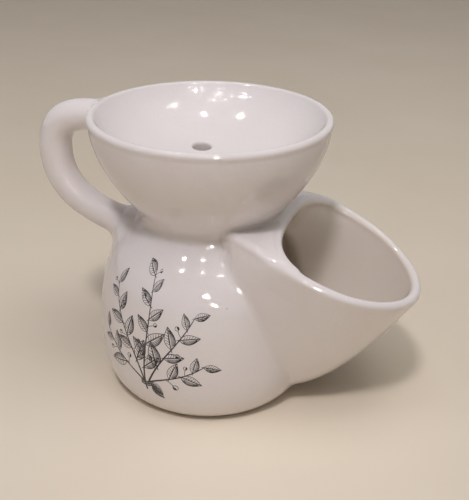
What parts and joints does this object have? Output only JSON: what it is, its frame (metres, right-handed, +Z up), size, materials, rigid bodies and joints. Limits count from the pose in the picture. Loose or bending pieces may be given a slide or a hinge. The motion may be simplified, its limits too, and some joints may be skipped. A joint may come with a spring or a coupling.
{
  "type": "shaving scuttle",
  "caption": "Glazed earthenware shaving scuttle: hot-water pot with a wide scooped brush spout, a drained soap dish on its neck and a loop handle.",
  "frame": {"origin": "centre of the flat foot, on the surface that the scuttle stands on", "axes": "+Z up, +X towards the spout's tip, handle on -X; the plane Y = 0 is the plane of symmetry, apart from the drain holes"},
  "size_m": [0.1693, 0.1, 0.122],
  "materials": {
    "white_glaze": "glossy clear glaze over white body, faint warm tint and crazing",
    "luting_slip": "fired joining slip of the same body",
    "ink_print": "black transfer print fired under the glaze",
    "bare_foot": "dry unglazed foot"
  },
  "bodies": {
    "root": {"pot": "white_glaze", "spout": "white_glaze", "soap_dish": "white_glaze", "handle": "white_glaze", "neck_slip": "luting_slip", "spout_slip": "luting_slip", "handle_top_slip": "luting_slip", "handle_foot_slip": "luting_slip"}
  },
  "joints": []
}
